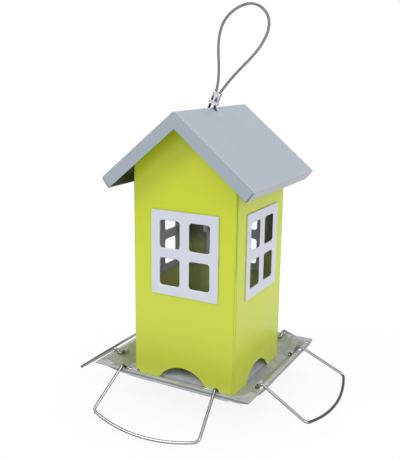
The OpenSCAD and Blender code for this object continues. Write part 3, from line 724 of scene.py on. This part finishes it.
def roof_places(n, base):
    """Painted shade under the roof, on its gable bands and eave flanges and at the open corners; painted highlights
    along the folds and round the holes.
    """
    x, y, z = n.mirrored_axes()
    height = n.math("SUBTRACT", n.math("ADD", z, n.math("MULTIPLY", x, math.tan(ROOF_PITCH))), RIDGE_TOP)
    top = n.map(height, -0.0009, -0.0007, 0.0, 1.0)
    # Painted shade: the gable bands and the eave flanges get a darker grey than the roof's top.
    base = n.mix(n.map(y, GABLE_FACE - 0.0002, GABLE_FACE, 0.0, 1.0), base, srgb(161, 172, 183))
    run, rise = n.math("MULTIPLY", x, math.cos(ROOF_PITCH)), n.math("MULTIPLY", z, math.sin(ROOF_PITCH))
    along = n.math("SUBTRACT", run, rise)
    eave = n.map(along, EAVE_FACE - 0.0004, EAVE_FACE - 0.0002, 0.0, 1.0)
    base = n.mix(eave, base, srgb(166, 169, 182))
    # Painted shade: a dark mark where each eave flange meets its gable band, standing in for the open corner.
    by_eave = n.map(along, EAVE_FACE - 0.001, EAVE_FACE - 0.0007, 0.0, 1.0)
    corner = n.math("MINIMUM", by_eave, n.map(y, GABLE_FOLD - 0.0002, GABLE_FOLD + 0.0001, 0.0, 1.0))
    corner = n.math("MULTIPLY", corner, n.map(height, -0.0012, -0.001, 0.85, 0.0))
    base = n.mix(corner, base, srgb(92, 98, 114))
    # Painted highlights: a light line along the gable folds, the eave folds and the ridge.
    gable_highlight = n.near(y, GABLE_FOLD, 0.0003, 0.0007, 0.5)
    eave_highlight = n.near(x, EAVE_FOLD, 0.0003, 0.0006, 0.12)
    ridge_highlight = n.map(x, 0.0006, 0.0014, 0.25, 0.0)
    fold_highlight = n.math("MAXIMUM", gable_highlight, n.math("MAXIMUM", eave_highlight, ridge_highlight))
    base = n.mix(n.math("MULTIPLY", fold_highlight, top), base, srgb(222, 229, 233))
    # Painted highlight: blotchy light patches round the holes at the ridge.
    round_holes = n.map(n.radius(x, y), 0.004, 0.012, 1.0, 0.0)
    hole_highlight = n.math("MULTIPLY", round_holes, n.map(n.noise(420, 2, 0.5), 0.45, 0.62, 0.0, 0.7))
    base = n.mix(n.math("MULTIPLY", hole_highlight, top), base, srgb(214, 228, 240))
    # Painted shade on the roof's underside.
    inner = n.map(y, GABLE_FOLD - 0.0003, GABLE_FOLD, 1.0, 0.0)
    inner = n.math("MULTIPLY", inner, n.map(x, EAVE_FOLD + 0.0001, EAVE_FOLD + 0.0004, 1.0, 0.0))
    inner = n.math("MULTIPLY", inner, n.math("SUBTRACT", 1.0, eave))
    under = n.math("MULTIPLY", inner, n.map(height, -0.00099, -0.00092, 1.0, 0.0))
    return n.mix(under, base, srgb(104, 110, 104))


def tray_places(n, base):
    """A painted band of shade along the middle of each turned-down hem."""
    x, y, z = n.mirrored_axes()
    on_hem = n.map(n.math("MAXIMUM", x, y), HEM_FACE - 0.0002, HEM_FACE, 0.0, 1.0)
    middle = n.near(z, HEM_MIDDLE, 0.0006, 0.0012, 0.8)
    return n.mix(n.math("MULTIPLY", on_hem, middle), base, srgb(108, 116, 118))


def deflector_places(n, base):
    """Painted shade, near black, on the deflector's upper part, inside the house."""
    return n.mix(n.map(n.axes()[2], 0.0064, 0.0086, 0.0, 0.95), base, srgb(30, 31, 27))


def zinc(name, base, roughness, metallic, grain=0.35, places=None):
    """Zinc-plated sheet: faint crystals, rolling marks, handling scratches and shallow dents."""
    n = Nodes(name)
    split = n.add("ShaderNodeSeparateColor")
    n.link(n.cells(110), split.inputs[0])
    rolled = n.noise(60, 5, 0.7, n.stretched(14, 1, 1))
    stain = n.noise(22, 5, 0.65)
    tone = n.math("ADD", n.math("MULTIPLY", split.outputs[0], grain), n.math("MULTIPLY", stain, 1 - grain))
    dark = tuple(c * 0.78 for c in base[:3]) + (1,)
    light = tuple(min(c * 1.12, 1) for c in base[:3]) + (1,)
    colour = n.mix(n.map(tone, 0.25, 0.75, 0, 1), dark, light)
    scratch = n.ramp(n.noise(160, 3, 0.8, n.stretched(0.12, 1, 1)), (0.0, 0.0), (0.62, 0.0), (0.7, 1.0))
    colour = n.mix(n.math("MULTIPLY", scratch, 0.25), colour, (0.85, 0.86, 0.87, 1))
    if places:
        colour = places(n, colour)
    n.set(Base_Color=colour, Metallic=metallic)
    n.set(Roughness=n.map(tone, 0.2, 0.8, roughness - 0.06, roughness + 0.1))
    n.bump(
        (n.noise(26, 2, 0.5), 0.4, 0.003),
        (rolled, 0.05, 0.0004),
        (scratch, 0.06, 0.0002),
    )
    return n.material


def bright_wire(name, base, roughness, streak=0.5, shadowed_below=None, shade=0.3):
    """Drawn metal: fine pits, an uneven polish, a painted dark reflection where its surface is seen edge-on, and a
    painted shadow below a height.
    """
    n = Nodes(name)
    pits = n.noise(1600, 3, 0.6)
    tone = n.noise(55, 4, 0.6)
    dark = tuple(c * 0.72 for c in base[:3]) + (1,)
    colour = n.mix(n.map(tone, 0.3, 0.7, 0, streak), base, dark)
    # Painted shadow: darker below the given height, where the rope runs under the sleeve.
    if shadowed_below:
        colour = n.mix(n.map(n.axes()[2], shadowed_below, shadowed_below + 0.0012, 0.75, 0.0), colour, srgb(44, 44, 42))
    # Painted reflection: the colour darkens where the surface is seen edge-on.
    edge = n.add("ShaderNodeLayerWeight")
    edge.inputs["Blend"].default_value = 0.5
    colour = n.mix(n.map(edge.outputs["Facing"], 0.05, 0.35, 0.0, shade), colour, srgb(50, 50, 48))
    n.set(Base_Color=colour, Metallic=1.0)
    n.set(Roughness=n.map(pits, 0.3, 0.75, roughness - 0.05, roughness + 0.1))
    n.bump((pits, 0.05, 0.0001))
    return n.material


LIME = paint("lime_enamel", srgb(205, 217, 46), srgb(199, 211, 42), 0.34, 0.1, gloss=0.4, places=lime_places)
ROOF_GREY = paint(
    "grey_enamel", srgb(176, 186, 196), srgb(171, 181, 191), 0.42, 0.1,
    peel=0.05, wave=0.2, metallic=0.1, places=roof_places,
)
WHITE = paint("white_enamel", srgb(212, 217, 230), srgb(207, 212, 226), 0.4, 0.15, peel=0.05, wave=0.15)
# Painted highlight on the rounded rims of the frames' openings.
RIM_HIGHLIGHT = paint("rim_painted_highlight", srgb(238, 241, 248), srgb(232, 236, 244), 0.35, 0.2)
# Painted shade on the cut sides of the frames' openings.
CUT_EDGE_SHADE = paint("cut_edge_painted_shade", srgb(96, 98, 92), srgb(84, 86, 80), 0.6, 0.0)
TRAY_ZINC = zinc("zinc_plate", srgb(186, 190, 194), 0.44, 0.2, places=tray_places)
SOFT_ZINC = zinc("dull_zinc", srgb(196, 203, 208), 0.5, 0.15)
# The deflector's zinc, with painted shade on its upper part.
SHADE_PAINTED_ZINC = zinc("zinc_painted_shade", srgb(198, 204, 212), 0.5, 0.15, places=deflector_places)
WIRE = bright_wire("drawn_steel", srgb(214, 214, 212), 0.2, shade=0.85)
ROPE = bright_wire("rope_steel", srgb(174, 174, 176), 0.34, 0.8, shadowed_below=0.2412, shade=0.6)
SLEEVE = bright_wire("pressed_aluminium", srgb(240, 240, 246), 0.24, 0.3)
# Painted shade for the sleeve's pockets, side edges and lower end.
SLEEVE_SHADE = bright_wire("sleeve_painted_shade", srgb(124, 120, 134), 0.45, 0.3)
RIVET = bright_wire("rivet_aluminium", srgb(200, 202, 206), 0.32, 0.4)


def clear_plastic():
    n = Nodes("clear_sheet")
    haze = n.noise(30, 4, 0.6)
    scratch = n.ramp(n.noise(220, 3, 0.8, n.stretched(1, 1, 0.1)), (0.0, 0.0), (0.64, 0.0), (0.72, 1.0))
    n.set(Base_Color=srgb(226, 230, 226), IOR=1.49)
    n.set(Roughness=n.map(haze, 0.3, 0.7, 0.06, 0.16))
    n.set(Alpha=n.math("ADD", n.map(haze, 0.3, 0.7, 0.01, 0.022), n.math("MULTIPLY", scratch, 0.015)))
    n.bump((n.noise(40, 2, 0.5), 0.1, 0.001))
    return n.material


CLEAR = clear_plastic()


def wear(obj, *materials):
    for material in materials:
        obj.data.materials.append(material)


def dress(node, material):
    for slot in frame["nodes"][node].material_slots:
        slot.material = material


for side in TURNS:
    wear(sheets[side + "_window_frame"], WHITE, RIM_HIGHLIGHT, CUT_EDGE_SHADE)
    dress(side + "_pane", CLEAR)
    wear(perches[side], WIRE)
wear(sheets["house_walls"], LIME)
wear(sheets["roof"], ROOF_GREY)
wear(sheets["seed_tray"], TRAY_ZINC)
wear(sheets["seed_deflector"], SHADE_PAINTED_ZINC)
wear(sheets["hanger_strap"], SOFT_ZINC)
for piece in rivets:
    wear(piece, RIVET)
wear(cable, ROPE)
wear(sleeve, SLEEVE, SLEEVE_SHADE)
wear(stops, SLEEVE)


# Floor, lights and world

def make_floor():
    """White floor that keeps some of the object's shadow near it. From below it is see-through."""
    size, height = 6000, -19.0
    plain_near, near_edge, far_edge = 0.88, 0.08, 0.34  # share of plain white near the object, and where it grows to 1
    obj = new_object(
        "floor",
        [(-size, -size, height), (size, -size, height), (size, size, height), (-size, size, height)],
        [(0, 1, 2, 3)],
        smooth=False,
    )
    n = Nodes("pale_floor")
    n.set(Base_Color=srgb(246, 246, 245), Roughness=0.7)
    plain = n.add("ShaderNodeEmission")
    plain.inputs["Color"].default_value = (1, 1, 1, 1)
    plain.inputs["Strength"].default_value = 1.0
    path = n.add("ShaderNodeLightPath")
    mirrored = n.math("MAXIMUM", path.outputs["Is Glossy Ray"], path.outputs["Is Transmission Ray"])
    seen = n.math("MAXIMUM", path.outputs["Is Camera Ray"], mirrored)
    mix = n.add("ShaderNodeMixShader")
    x, y, _ = n.axes()
    n.link(n.math("MULTIPLY", seen, n.map(n.radius(x, y), near_edge, far_edge, plain_near, 1.0)), mix.inputs[0])
    n.link(n.shader.outputs[0], mix.inputs[1])
    n.link(plain.outputs[0], mix.inputs[2])
    open_back = n.add("ShaderNodeMixShader")
    n.link(n.add("ShaderNodeNewGeometry").outputs["Backfacing"], open_back.inputs[0])
    n.link(mix.outputs[0], open_back.inputs[1])
    n.link(n.add("ShaderNodeBsdfTransparent").outputs[0], open_back.inputs[2])
    n.link(open_back.outputs[0], n.output.inputs["Surface"])
    obj.data.materials.append(n.material)


AMBIENT = 0.62


def make_world():
    """White world: plain light on the object, and full white where it is seen."""
    world = bpy.data.worlds.new("studio")
    scene.world = world
    world.use_nodes = True
    tree = world.node_tree
    background = tree.nodes["Background"]
    path = tree.nodes.new("ShaderNodeLightPath")
    shown = tree.nodes.new("ShaderNodeMath")
    shown.operation = "MAXIMUM"
    tree.links.new(path.outputs["Is Camera Ray"], shown.inputs[0])
    tree.links.new(path.outputs["Is Transmission Ray"], shown.inputs[1])
    strength = tree.nodes.new("ShaderNodeMapRange")
    strength.inputs["To Min"].default_value = AMBIENT
    strength.inputs["To Max"].default_value = 1.0
    tree.links.new(shown.outputs[0], strength.inputs["Value"])
    background.inputs["Color"].default_value = (1, 1, 1, 1)
    tree.links.new(strength.outputs["Result"], background.inputs["Strength"])


LIT_POINT = Vector((0, 0, 0.12))


def soft_light(name, place, size, power):
    """Area lamp that faces the object. place and size are in metres, power in watts."""
    data = bpy.data.lights.new(name, "AREA")
    data.shape = "RECTANGLE"
    data.size, data.size_y = size
    data.energy = power
    obj = bpy.data.objects.new(name, data)
    scene.collection.objects.link(obj)
    obj.location = Vector(place)
    obj.rotation_euler = (LIT_POINT - Vector(place)).to_track_quat("-Z", "Y").to_euler()


make_floor()
make_world()
soft_light("key", (-1.0, -1.1, 1.5), (0.7, 0.7), 11.9)
soft_light("side", (1.5, -0.5, 0.9), (0.7, 1.1), 5)
soft_light("top", (0.1, 0.3, 1.6), (1.2, 1.2), 8)
